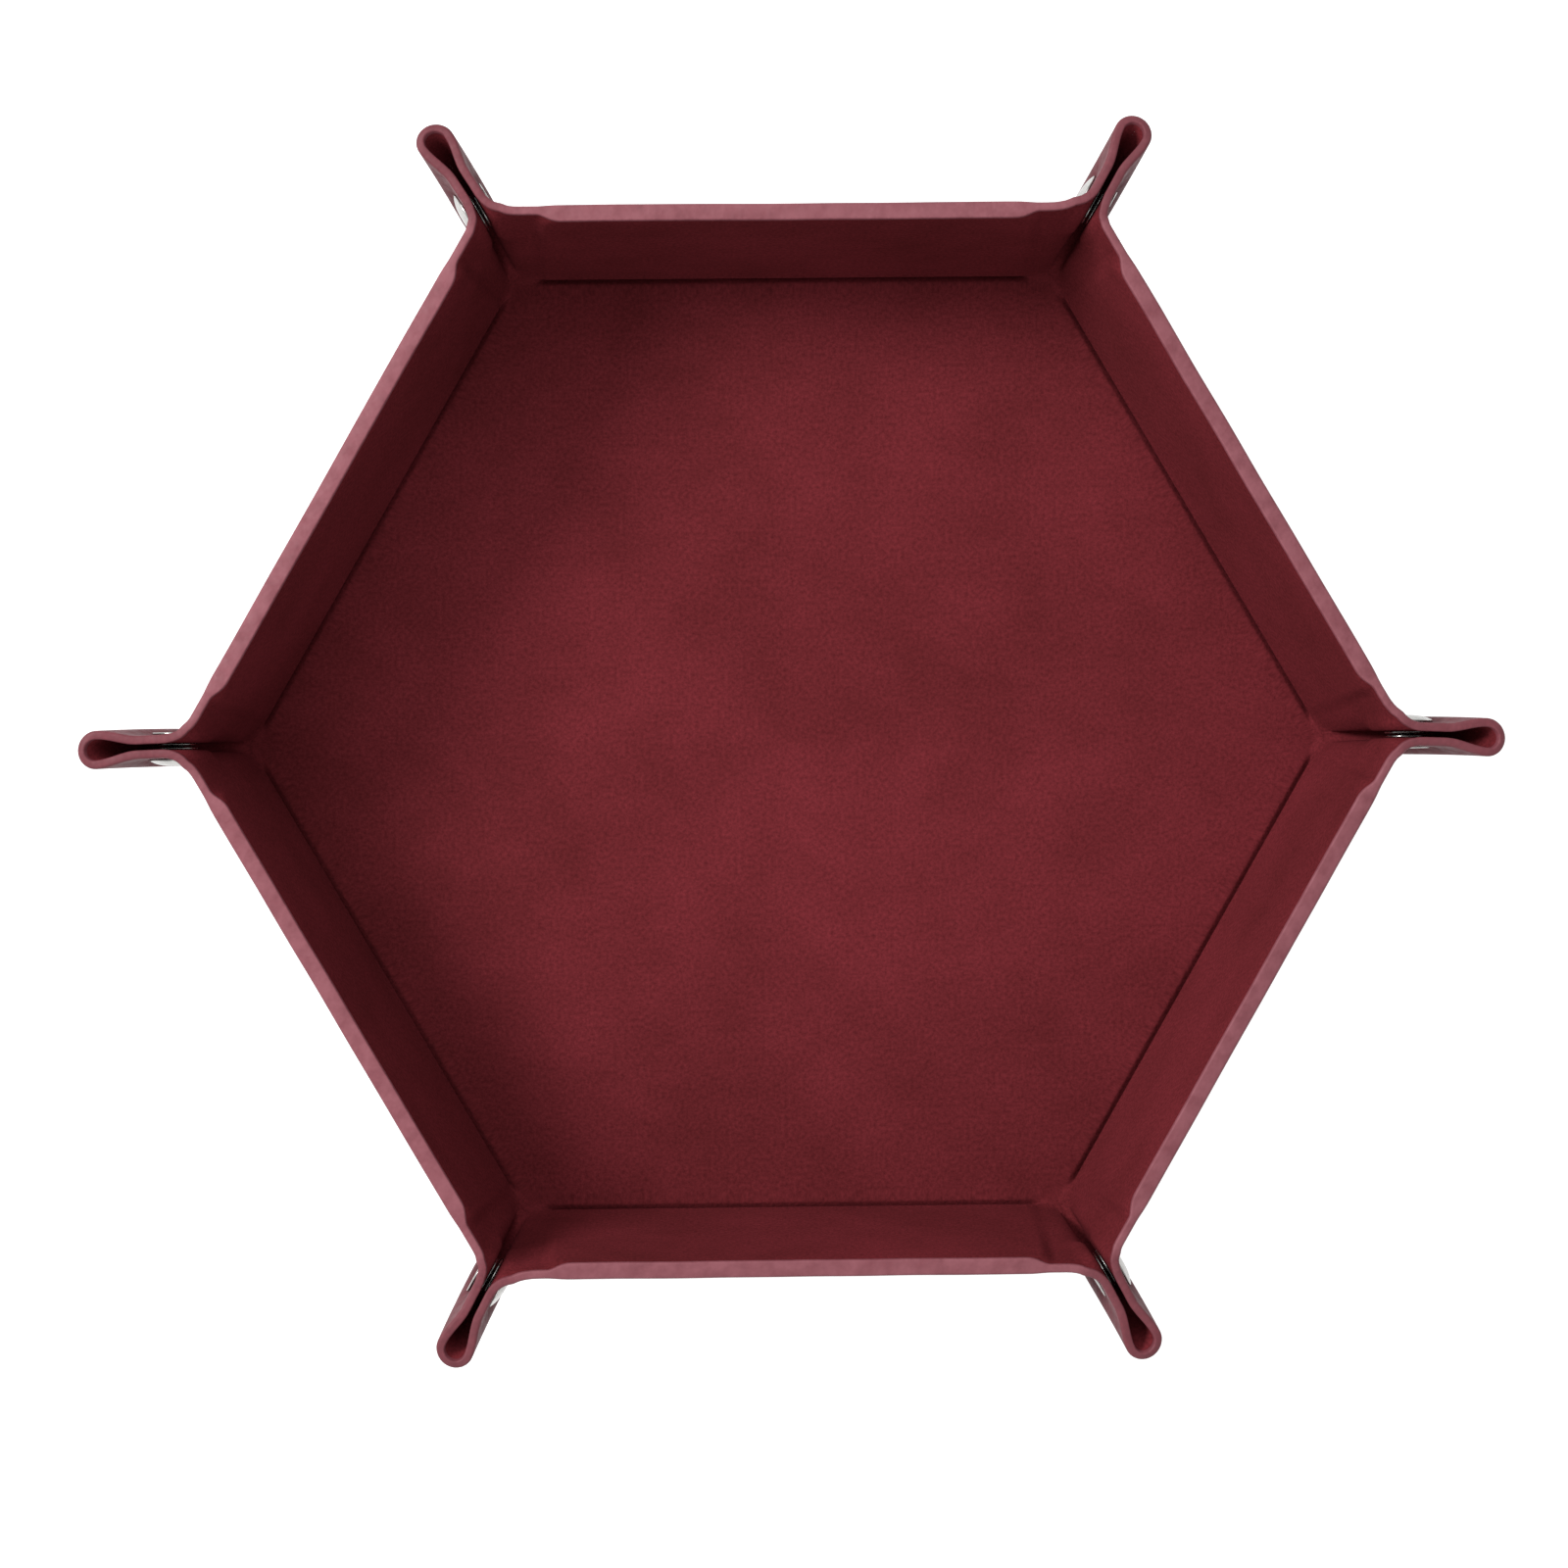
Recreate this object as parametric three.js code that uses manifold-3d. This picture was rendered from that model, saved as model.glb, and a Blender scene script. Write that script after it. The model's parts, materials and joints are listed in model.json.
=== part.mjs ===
// Folding hexagonal dice tray, in millimetres, +Z up.
//
// A leather cover and a soft lining are bonded over a stiff floor board and six wall boards.
// Between two walls the cover and lining run on without a board, as a corner gusset. A press stud
// in each gusset pinches it outwards into a teardrop-shaped ear, and six ears hold the walls up.
// Unsnapped, the tray falls open into a flat hexagonal sheet.
//
// The origin is the centre of the underside. A corner, and so an ear, points along +X.
// The model stands with all six ears snapped shut.

import * as THREE from 'three';
import { mergeVertices } from 'three/addons/utils/BufferGeometryUtils.js';
import Module from 'manifold-3d';

const wasm = await Module();
wasm.setup();

// Driving dimensions.
const SIDES = 6;
const FLOOR_HALF = 87.5; // centre to a floor crease
const WALL_HEIGHT = 44.5; // crease to rim, up the slope
const WALL_ANGLE = THREE.MathUtils.degToRad(81); // wall above the floor when snapped

const LEATHER = 0.8;
const LINING = 0.6;
const FLOOR_BOARD = 2.0;
const WALL_BOARD = 1.4;
const GLUE = 0.1; // glue line between two bonded layers
const CREASE_GAP = 0.15; // bare fold on each side of a crease

const FLOOR_BOARD_INSET = 2.0; // crease to the edge of the floor board
const WALL_BOARD_HALF = 44; // half of a wall board's length
const WALL_BOARD_FOOT = 2.0; // crease to the lower edge of a wall board
const WALL_BOARD_CORNER = 4.0; // radius of a wall board's upper corners
const STEP_INNER = 0.2; // board end to the foot of the cover's step, inside
const STEP_OUTER = 1.1; // the same, outside
const STEP_RUN = 1.4; // length of the step down from board to gusset

const EAR_GAP = 0.65; // middle of an ear to the face of its lining
const EAR_FOOT = 8; // height where the two halves of an ear begin
const BULB_RADIUS = 1.7; // inside the teardrop at the rim
const BULB_FULL_HEIGHT = 22; // height where the teardrop reaches that radius
const FLARE = 2.3; // length of the flare from neck to teardrop
const FLARE_TOP = 0.4; // extra flare per millimetre above the press stud
const FLARE_TOP_FROM = 38;
const ROOT_GAP = 0.1; // half of the bare fold between a wall and an ear
const TIP_GAP = 0.15; // half of the gap between the two halves at the tip

const SNAP_OUT = 5.8; // ear root to the middle of the press stud
const SNAP_UP = 35; // height of the press stud, up the slope
const CAP_RADIUS = 4.75;
const CAP_DOME = 1.2;
const CAP_EDGE = 0.25;
const CAP_POST = 1.6;
const CAP_POST_DEPTH = 1.1; // lining face to the end of the cap's post
const SOCKET_RADIUS = 4.0;
const SOCKET_CUP = 2.5;
const SOCKET_BORE = 2.1;
const SOCKET_DEPTH = 1.0; // lining face to the back of the socket's cup
const SOCKET_FLOOR = 0.3; // thickness of the cup's back
const FLANGE_TAPER = 0.15; // a flange is this much smaller at its face
const STUD_RADIUS = 3.8;
const STUD_STEM = 1.5;
const STUD_HEAD = 1.8;
const STUD_HEIGHT = 1.75; // lining face to the top of the stud's head
const STUD_NOSE = 0.5; // height of the taper at the top of the head
const STUD_NOSE_TAPER = 0.4;
const EYELET_RADIUS = 4.2;
const EYELET_TUBE = 2.2;
const EYELET_BORE = 1.7;
const EYELET_EDGE = 0.4;
const EYELET_TAPER = 0.3;
const HOLE_PLAY = 0.2; // radial play of a metal part in its hole
const SNAP_FACETS = 14;

// Derived dimensions.
const FLOOR_THICKNESS = LEATHER + LINING + FLOOR_BOARD + 2 * GLUE;
const EAR_SHEET = LEATHER + LINING; // the gusset is one pressed sheet
const LINING_BACK = -LINING;
const GUSSET_COVER = LINING_BACK - GLUE; // inner face of the cover where there is no board
const BOARD_FRONT = LINING_BACK - GLUE;
const BOARD_COVER = BOARD_FRONT - WALL_BOARD - GLUE; // inner face of the cover behind a board
const FLOOR_CORNER = FLOOR_HALF * Math.tan(Math.PI / SIDES); // half of a crease's length

const GUSSET_ANGLE = Math.PI / SIDES; // from a wall's side to the middle of its gusset, flat
const MITRE_ANGLE = Math.atan(Math.cos(WALL_ANGLE) * Math.tan(GUSSET_ANGLE));
const EAR_TURN = Math.acos(Math.sin(Math.PI / SIDES) * Math.sin(WALL_ANGLE));
const ROOT_INSET = EAR_GAP / Math.cos(GUSSET_ANGLE); // floor corner to the foot of an ear's hinge
const TIP_SLOPE = Math.tan(GUSSET_ANGLE - MITRE_ANGLE); // the tip line, seen from the hinge line
const TIP_START = {
  x: ROOT_INSET * Math.cos(MITRE_ANGLE),
  y: ROOT_INSET * Math.sin(MITRE_ANGLE),
};

const leatherLook = { color: 0x5a1f26, roughness: 0.55, metalness: 0 };
const liningLook = { color: 0x6e2a32, roughness: 0.95, metalness: 0 };
const boardLook = { color: 0xa89674, roughness: 0.9, metalness: 0 };
const metalLook = { color: 0xc9c9cc, roughness: 0.28, metalness: 1 };

const tray = new THREE.Group();

function addMesh(parent, name, geometry, look) {
  const mesh = new THREE.Mesh(geometry, new THREE.MeshStandardMaterial(look));
  mesh.name = name;
  parent.add(mesh);
  return mesh;
}

// Joins and cuts.

function toSolid(geometry) {
  const plain = geometry.clone();
  plain.deleteAttribute('normal');
  plain.deleteAttribute('uv');
  const merged = mergeVertices(plain, 1e-4);
  const mesh = new wasm.Mesh({
    numProp: 3,
    vertProperties: new Float32Array(merged.attributes.position.array),
    triVerts: new Uint32Array(merged.index.array),
  });
  mesh.merge();
  return new wasm.Manifold(mesh);
}

function toGeometry(solid) {
  const mesh = solid.getMesh();
  const geometry = new THREE.BufferGeometry();
  geometry.setAttribute('position', new THREE.BufferAttribute(mesh.vertProperties, 3));
  geometry.setIndex(new THREE.BufferAttribute(mesh.triVerts, 1));
  return geometry;
}

function mirrorAcrossX(geometry) {
  const mirrored = geometry.clone().applyMatrix4(new THREE.Matrix4().makeScale(-1, 1, 1));
  const index = mirrored.index.array;
  for (let i = 0; i < index.length; i += 3) {
    [index[i], index[i + 1]] = [index[i + 1], index[i]];
  }
  return mirrored;
}

// An outline in the XY plane, raised from z = low to z = high.
function prism(points, low, high) {
  const shape = new THREE.Shape(points.map(([x, y]) => new THREE.Vector2(x, y)));
  const geometry = new THREE.ExtrudeGeometry(shape, { depth: high - low, bevelEnabled: false });
  return geometry.translate(0, 0, low);
}

// An outline given as [x, z] pairs, run along Y from y = low to y = high.
function profileAlongY(points, low, high) {
  return prism(points, 0, high - low).rotateX(Math.PI / 2).translate(0, high, 0);
}

// A closed or axis-to-axis outline given as [radius, z] pairs, turned about Z.
function turned(points) {
  const outline = points.map(([radius, z]) => new THREE.Vector2(radius, z));
  return new THREE.LatheGeometry(outline, SNAP_FACETS).rotateX(Math.PI / 2);
}

// Floor: cover, board and lining, stacked.

function hexagon(apothem) {
  const radius = apothem / Math.cos(Math.PI / SIDES);
  return Array.from({ length: SIDES }, (_, k) => {
    const angle = (k * 2 * Math.PI) / SIDES;
    return [radius * Math.cos(angle), radius * Math.sin(angle)];
  });
}

function buildFloor() {
  const edge = FLOOR_HALF - CREASE_GAP;
  const boardLow = LEATHER + GLUE;
  const liningLow = FLOOR_THICKNESS - LINING;
  addMesh(tray, 'floor_leather', prism(hexagon(edge), 0, LEATHER), leatherLook);
  const board = prism(hexagon(FLOOR_HALF - FLOOR_BOARD_INSET), boardLow, boardLow + FLOOR_BOARD);
  addMesh(tray, 'floor_board', board, boardLook);
  addMesh(tray, 'floor_lining', prism(hexagon(edge), liningLow, FLOOR_THICKNESS), liningLook);
}

// A wall stands in its own frame: X along the crease, Y up the slope, Z towards the inside.
// Z = 0 is the face of the lining.

// The wedge of space beyond a wall's end: everything past the bisector of wall and ear.
function beyondRoot(side) {
  const size = 4 * WALL_HEIGHT;
  const block = new THREE.BoxGeometry(size, 2 * size, size).translate(size / 2 - ROOT_GAP, 0, 0);
  const turn = new THREE.Euler(0, side * (EAR_TURN / 2), -side * MITRE_ANGLE, 'ZYX');
  const place = new THREE.Matrix4().makeRotationFromEuler(turn);
  place.setPosition(side * (FLOOR_CORNER - ROOT_INSET), 0, 0);
  const mirrored = side > 0 ? block : mirrorAcrossX(block);
  return toSolid(mirrored.applyMatrix4(place));
}

function trimToRoots(solid) {
  return [-1, 1].reduce((rest, side) => rest.subtract(beyondRoot(side)), solid);
}

// The back of the cover: level behind the board, stepping in to the gusset at each end.
function coverOutline(level, gussetLevel, foot) {
  const reach = FLOOR_CORNER + WALL_HEIGHT;
  const stepFoot = WALL_BOARD_HALF + foot;
  return [
    [-reach, gussetLevel],
    [-stepFoot - STEP_RUN, gussetLevel],
    [-stepFoot, level],
    [stepFoot, level],
    [stepFoot + STEP_RUN, gussetLevel],
    [reach, gussetLevel],
  ];
}

function wallCover() {
  const back = coverOutline(BOARD_COVER - LEATHER, GUSSET_COVER - LEATHER, STEP_OUTER);
  const front = coverOutline(BOARD_COVER, GUSSET_COVER, STEP_INNER).reverse();
  const reach = FLOOR_CORNER + WALL_HEIGHT;
  const sheet = profileAlongY([...back, ...front], CREASE_GAP, WALL_HEIGHT);
  const turnOver = [...back, [reach, 0], [-reach, 0]];
  const rim = profileAlongY(turnOver, WALL_HEIGHT - LEATHER, WALL_HEIGHT);
  return toGeometry(trimToRoots(toSolid(sheet).add(toSolid(rim))));
}

function wallLining() {
  const reach = FLOOR_CORNER + WALL_HEIGHT;
  const outline = [[-reach, LINING_BACK], [reach, LINING_BACK], [reach, 0], [-reach, 0]];
  const sheet = profileAlongY(outline, CREASE_GAP, WALL_HEIGHT - LEATHER - GLUE);
  return toGeometry(trimToRoots(toSolid(sheet)));
}

// The board is a strip with its two upper corners rounded off.
function wallBoard() {
  const top = WALL_HEIGHT - LEATHER - GLUE;
  const corner = WALL_BOARD_HALF - WALL_BOARD_CORNER;
  const shape = new THREE.Shape();
  shape.moveTo(-WALL_BOARD_HALF, WALL_BOARD_FOOT);
  shape.lineTo(WALL_BOARD_HALF, WALL_BOARD_FOOT);
  shape.absarc(corner, top - WALL_BOARD_CORNER, WALL_BOARD_CORNER, 0, Math.PI / 2);
  shape.absarc(-corner, top - WALL_BOARD_CORNER, WALL_BOARD_CORNER, Math.PI / 2, Math.PI);
  const options = { depth: WALL_BOARD, bevelEnabled: false, curveSegments: 5 };
  return new THREE.ExtrudeGeometry(shape, options).translate(0, 0, BOARD_FRONT - WALL_BOARD);
}

// Half of an ear, in the frame of its hinge: X away from the wall, Y up the hinge line,
// Z towards the other half. The lining's face is at Z = 0 and the middle of the ear at EAR_GAP.

// One section, at height y on the hinge line. slope lifts the section as it leaves the wall.
function earSection(y, slope) {
  const length = (TIP_START.x + (y - TIP_START.y) * TIP_SLOPE) / (1 - slope * TIP_SLOPE);
  const growth = Math.min(1, y / BULB_FULL_HEIGHT);
  const radius = EAR_GAP + (BULB_RADIUS - EAR_GAP) * growth;
  const bulb = length - (radius + EAR_SHEET / 2) * (Math.PI / 2);
  const wanted = FLARE + FLARE_TOP * Math.max(0, y - FLARE_TOP_FROM);
  const flare = Math.min(wanted, bulb - CREASE_GAP);
  const inner = [];
  const outer = [];
  const put = (list, x, z) => list.push(new THREE.Vector3(x, y + x * slope, z));

  const start = -EAR_SHEET;
  put(inner, start, 0);
  put(outer, start, -EAR_SHEET);
  const flareSteps = 3;
  for (let i = 0; i <= flareSteps; i += 1) {
    const x = bulb - flare * (1 - i / flareSteps);
    const z = -(radius - EAR_GAP) * THREE.MathUtils.smoothstep(i, 0, flareSteps);
    put(inner, x, z);
    put(outer, x, z - EAR_SHEET);
  }
  const arcSteps = 4;
  for (let i = 1; i <= arcSteps; i += 1) {
    for (const [list, r] of [[inner, radius], [outer, radius + EAR_SHEET]]) {
      const angle = (i / arcSteps) * Math.acos(TIP_GAP / r);
      put(list, bulb + r * Math.sin(angle), EAR_GAP - r * Math.cos(angle));
    }
  }
  return { inner, outer };
}

// A sheet of even thickness through a stack of sections, closed at both ends.
function sheetThrough(sections) {
  const points = sections.flatMap(({ inner, outer }) => [...inner, ...outer.toReversed()]);
  const across = sections[0].inner.length;
  const ring = 2 * across;
  const faces = [];
  const quad = (a, b, c, d) => faces.push(a, b, c, a, c, d);
  for (let row = 0; row + 1 < sections.length; row += 1) {
    for (let i = 0; i < ring; i += 1) {
      const here = row * ring;
      const next = here + ring;
      const j = (i + 1) % ring;
      quad(here + i, here + j, next + j, next + i);
    }
  }
  const top = (sections.length - 1) * ring;
  for (let i = 0; i + 1 < across; i += 1) {
    quad(i, ring - 1 - i, ring - 2 - i, i + 1);
    quad(top + i, top + i + 1, top + ring - 2 - i, top + ring - 1 - i);
  }
  const geometry = new THREE.BufferGeometry().setFromPoints(points);
  geometry.setIndex(faces);
  return geometry;
}

function earHalf(holeRadius) {
  const heights = [EAR_FOOT, 15, BULB_FULL_HEIGHT, 30, FLARE_TOP_FROM];
  const sections = heights.map((y) => earSection(y, 0));
  sections.push(earSection(WALL_HEIGHT / Math.cos(MITRE_ANGLE), Math.tan(MITRE_ANGLE)));
  const hole = new THREE.CylinderGeometry(holeRadius, holeRadius, 4 * EAR_SHEET, SNAP_FACETS);
  hole.rotateX(Math.PI / 2).translate(SNAP_OUT, SNAP_UP, 0);

  const size = 4 * WALL_HEIGHT;
  const wallSide = new THREE.BoxGeometry(size, 2 * size, size).translate(ROOT_GAP - size / 2, 0, 0);
  wallSide.rotateY(-EAR_TURN / 2);
  const sheet = toSolid(sheetThrough(sections));
  return toGeometry(sheet.subtract(toSolid(wallSide)).subtract(toSolid(hole)));
}

// Press stud, turned about Z in the frame of its ear half.

function snapCap() {
  const seat = -EAR_SHEET - GLUE;
  const edge = seat - CAP_EDGE;
  const dome = [0, 0.35, 0.7, 1].map((part) => {
    const radius = CAP_RADIUS * part;
    return [radius, edge - CAP_DOME * (1 - part * part)];
  });
  const post = -CAP_POST_DEPTH;
  return turned([...dome, [CAP_RADIUS, seat], [CAP_POST, seat], [CAP_POST, post], [0, post]]);
}

function snapSocket() {
  const cupFloor = SOCKET_FLOOR - SOCKET_DEPTH;
  const lip = EAR_GAP - TIP_GAP;
  return turned([
    [0, -SOCKET_DEPTH],
    [SOCKET_CUP, -SOCKET_DEPTH],
    [SOCKET_CUP, GLUE],
    [SOCKET_RADIUS, GLUE],
    [SOCKET_RADIUS - FLANGE_TAPER, lip],
    [SOCKET_BORE, lip],
    [SOCKET_BORE, cupFloor],
    [0, cupFloor],
  ]);
}

function snapStud() {
  const stemEnd = -EAR_SHEET + GLUE;
  const flange = EAR_GAP - TIP_GAP;
  return turned([
    [0, stemEnd],
    [STUD_STEM, stemEnd],
    [STUD_STEM, GLUE],
    [STUD_RADIUS, GLUE],
    [STUD_RADIUS - FLANGE_TAPER, flange],
    [STUD_STEM, flange],
    [STUD_HEAD, STUD_HEIGHT - STUD_NOSE],
    [STUD_HEAD - STUD_NOSE_TAPER, STUD_HEIGHT],
    [0, STUD_HEIGHT],
  ]);
}

function snapEyelet() {
  const seat = -EAR_SHEET - GLUE;
  return turned([
    [EYELET_BORE, -GLUE],
    [EYELET_BORE, seat - EYELET_EDGE],
    [EYELET_RADIUS - EYELET_TAPER, seat - EYELET_EDGE],
    [EYELET_RADIUS, seat],
    [EYELET_TUBE, seat],
    [EYELET_TUBE, -GLUE],
    [EYELET_BORE, -GLUE],
  ]);
}

// Assembly.

function hingeFrame(wall, side) {
  const frame = new THREE.Group();
  frame.position.x = side * (FLOOR_CORNER - ROOT_INSET);
  frame.rotation.set(0, side * EAR_TURN, -side * MITRE_ANGLE, 'ZYX');
  wall.add(frame);
  return frame;
}

// The half of an ear that carries the cap and socket, on a wall's clockwise end.
function addSocketHalf(wall, ear) {
  const frame = hingeFrame(wall, 1);
  addMesh(frame, `ear_${ear}_socket_half`, earHalf(SOCKET_CUP + HOLE_PLAY), leatherLook);
  for (const [name, geometry] of [['cap', snapCap()], ['socket', snapSocket()]]) {
    const metal = addMesh(frame, `snap_${ear}_${name}`, geometry, metalLook);
    metal.position.set(SNAP_OUT, SNAP_UP, 0);
  }
}

// The half that carries the stud and eyelet, on a wall's anticlockwise end.
function addStudHalf(wall, ear) {
  const frame = hingeFrame(wall, -1);
  const half = mirrorAcrossX(earHalf(EYELET_TUBE + HOLE_PLAY));
  addMesh(frame, `ear_${ear}_stud_half`, half, leatherLook);
  for (const [name, geometry] of [['stud', snapStud()], ['eyelet', snapEyelet()]]) {
    const metal = addMesh(frame, `snap_${ear}_${name}`, geometry, metalLook);
    metal.position.set(-SNAP_OUT, SNAP_UP, 0);
  }
}

// Wall 1 faces 30 degrees from +X, wall 2 90 degrees and so on. Ear 1 points at 0 degrees, ear 2
// at 60 degrees and so on, so a wall has the ear of its own number on its clockwise end.
function addWall(number) {
  const facing = ((2 * number - 1) * Math.PI) / SIDES;
  const wall = new THREE.Group();
  const crease = new THREE.Vector2(FLOOR_HALF, 0).rotateAround(new THREE.Vector2(), facing);
  wall.position.set(crease.x, crease.y, FLOOR_THICKNESS);
  wall.rotation.set(WALL_ANGLE, 0, facing - Math.PI / 2, 'ZYX');
  tray.add(wall);
  addMesh(wall, `wall_${number}_leather`, wallCover(), leatherLook);
  addMesh(wall, `wall_${number}_board`, wallBoard(), boardLook);
  addMesh(wall, `wall_${number}_lining`, wallLining(), liningLook);
  addSocketHalf(wall, number);
  addStudHalf(wall, (number % SIDES) + 1);
}

buildFloor();
for (let number = 1; number <= SIDES; number += 1) {
  addWall(number);
}

export default tray;
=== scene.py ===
# Folding hexagonal dice tray: its fine surfaces and materials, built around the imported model.
#
# Lengths are in millimetres until a mesh is made, and the mesh is in metres.
# The cover and the lining are each one flat sheet in reality. Every piece of them carries a UV map,
# "flat", with its place in the unfolded tray, so grain and nap run on across folds and joins.

import json
import math
from functools import lru_cache, partial

import bmesh
import bpy
import numpy as np
from mathutils import Matrix, Vector, noise

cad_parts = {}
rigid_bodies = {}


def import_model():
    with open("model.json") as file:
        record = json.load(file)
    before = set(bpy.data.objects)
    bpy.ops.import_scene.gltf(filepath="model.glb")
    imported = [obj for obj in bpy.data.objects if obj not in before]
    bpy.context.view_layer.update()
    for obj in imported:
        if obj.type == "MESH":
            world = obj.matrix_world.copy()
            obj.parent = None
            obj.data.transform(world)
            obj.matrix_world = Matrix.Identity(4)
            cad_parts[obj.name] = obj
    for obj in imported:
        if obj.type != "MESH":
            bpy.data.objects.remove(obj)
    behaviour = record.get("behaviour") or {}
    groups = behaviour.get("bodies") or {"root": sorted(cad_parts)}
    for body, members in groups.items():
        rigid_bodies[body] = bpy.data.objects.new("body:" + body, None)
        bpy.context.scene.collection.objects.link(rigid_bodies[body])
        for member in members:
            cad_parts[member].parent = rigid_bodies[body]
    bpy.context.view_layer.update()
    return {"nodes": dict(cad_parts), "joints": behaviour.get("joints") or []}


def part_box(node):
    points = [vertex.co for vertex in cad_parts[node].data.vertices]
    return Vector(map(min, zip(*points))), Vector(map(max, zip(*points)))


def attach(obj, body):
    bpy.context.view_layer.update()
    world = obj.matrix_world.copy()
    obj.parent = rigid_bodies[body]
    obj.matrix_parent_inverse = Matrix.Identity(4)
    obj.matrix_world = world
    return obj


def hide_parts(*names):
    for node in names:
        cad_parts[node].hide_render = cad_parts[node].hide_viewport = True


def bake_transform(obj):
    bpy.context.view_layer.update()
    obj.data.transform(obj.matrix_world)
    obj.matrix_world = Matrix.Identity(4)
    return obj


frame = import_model()

MM = 0.001
SIDES = 6
HALF_CORNER = math.pi / SIDES
UP = np.array([0.0, 0.0, 1.0])
JOINTS = {joint["name"]: joint for joint in frame["joints"]}


def place(joint_name):
    """A joint's place at rest."""
    return np.array(JOINTS[joint_name]["pos_m"]) / MM


def box_size(node):
    """The size of a CAD node's box."""
    low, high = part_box(node)
    return np.array(high - low) / MM


# Sizes that the frame gives.
CREASE = math.hypot(*place("wall_1_fold")[:2])  # centre to a floor crease
FLOOR_TOP = place("wall_1_fold")[2]
LEAN = math.radians(JOINTS["wall_1_fold"]["range_deg"][1])  # a wall's slope above the floor
EAR_TURN = math.radians(JOINTS["ear_1_socket_fold"]["range_deg"][1])
LEATHER = box_size("floor_leather")[2]
LINING = box_size("floor_lining")[2]
RIM = (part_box("wall_2_leather")[1].z / MM - FLOOR_TOP) / math.sin(LEAN)  # crease to rim
BOARD_HALF = box_size("wall_2_board")[0] / 2
EAR_GAP = abs(place("ear_1_socket_fold")[1])  # middle of an ear to the face of its lining


def board_thickness():
    """A wall board leans, so its box mixes its thickness with its height."""
    depth, height = box_size("wall_2_board")[1:]
    return (depth * math.sin(LEAN) - height * math.cos(LEAN)) / -math.cos(2 * LEAN)


GLUE = 0.1
BOARD_BACK = LINING + 2 * GLUE + board_thickness() + LEATHER  # lining face to the cover's back
GUSSET_BACK = LINING + GLUE + LEATHER  # the same where there is no board
MITRE = math.atan(math.cos(LEAN) * math.tan(HALF_CORNER))  # an ear's hinge, off the wall's slope
CORNER = CREASE * math.tan(HALF_CORNER)  # half of a crease's length
ROOT_INSET = EAR_GAP / math.cos(HALF_CORNER)
ROOT_FOOT = CORNER - ROOT_INSET  # middle of a crease to the foot of an ear's hinge

# Where the pieces of a sheet meet.
FOLD = 2.6  # width of the bare fold on each side of a crease
WALL_END = 47.0  # middle of a wall to the seam between its flat part and its ears
BOARD_CORNER = 4.0
BOARD_TOP = RIM - LEATHER - GLUE
STEP_START = 0.1  # beyond the board's edge the sheet thins
STEP_RUN = 2.9
INNER_STEP = 1.3  # at the rim most of that step shows inside, as the lining drops back
LOW_INNER_STEP = 0.4  # at the foot of a wall most of it shows outside
STEP_CHANGE = 0.35  # share of a wall's height where the one starts to turn into the other
RIM_ROUND = 0.6
RIM_LIP = 0.12  # the turned-over edge stands this proud of the lining

# Ears.
BULB_RADIUS = 2.0  # inside the teardrop
BULB_FULL = 26.0  # height where the teardrop is full
FLARE_SHARE = 0.76  # the flare starts this far along a low row
LOW_ROW = 9.0  # below this height an ear is only a soft tuck
TUCK_HANDLE = 0.8  # this share of the way from the seam to the root, a tuck still follows the wall
POCKET_HANDLE = 0.9
FOOT_EASE = 0.3  # the lowest rows stop this short, so two halves clear each other laid flat
BOW_LENGTH = 22.0
ROOT_SETBACK = 2.5  # on each side of the root, where the set-back sheet turns from wall to ear
ROOT_PINCH = 5.0  # past the root, where it is pinched against the other half

# How far each root's bend runs back along the wall and out along the ear, from pinched to loose.
ROOT_LOOSENESS = {
    (1, "socket"): 0.85, (1, "stud"): 0.5, (2, "socket"): 1.0, (2, "stud"): 0.15,
    (3, "socket"): 0.2, (3, "stud"): 0.55, (4, "socket"): 0.6, (4, "stud"): 0.45,
    (5, "socket"): 1.0, (5, "stud"): 0.35, (6, "socket"): 0.3, (6, "stud"): 0.7,
}
# How far the tip of each ear bows sideways, anticlockwise.
EAR_BOW = {1: -1.2, 2: 0.5, 3: 1.2, 4: 0.9, 5: 1.2, 6: -1.2}


def smooth(low, high, value):
    """From 0 at low to 1 at high, easing in and out."""
    part = np.clip((value - low) / (high - low), 0.0, 1.0)
    return part * part * (3 - 2 * part)


def unit(vector):
    return vector / np.linalg.norm(vector, axis=-1, keepdims=True)


def ripple(x, y, scale, seed):
    """A soft unevenness from -1 to 1, as glued cloth and leather have."""
    return noise.noise(Vector((x / scale, y / scale, seed * 7.3)))


def cubic(p0, p1, p2, p3, t):
    """A cubic curve at each t, a column of numbers from 0 to 1."""
    return (1 - t) ** 3 * p0 + 3 * t * (1 - t) ** 2 * p1 + 3 * t * t * (1 - t) * p2 + t ** 3 * p3


def lengths_along(points):
    """The length of a line of points up to each of them."""
    steps = np.linalg.norm(np.diff(points, axis=0), axis=1)
    return np.concatenate([[0.0], np.cumsum(steps)])


class Wall:
    """A wall's axes, from the middle of its crease: along it, up the slope and into the tray."""

    def __init__(self, number):
        axis = np.array(JOINTS[f"wall_{number}_fold"]["axis"])
        self.number = number
        self.origin = place(f"wall_{number}_fold")
        self.along = -axis
        self.out = np.array([axis[1], -axis[0], 0.0])
        self.up = math.cos(LEAN) * self.out + math.sin(LEAN) * UP
        self.inner = -math.sin(LEAN) * self.out + math.cos(LEAN) * UP

    def flat(self, x, height):
        """The place in the unfolded tray, in metres."""
        return (self.out * (CREASE + height) + self.along * x)[:2] * MM


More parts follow.
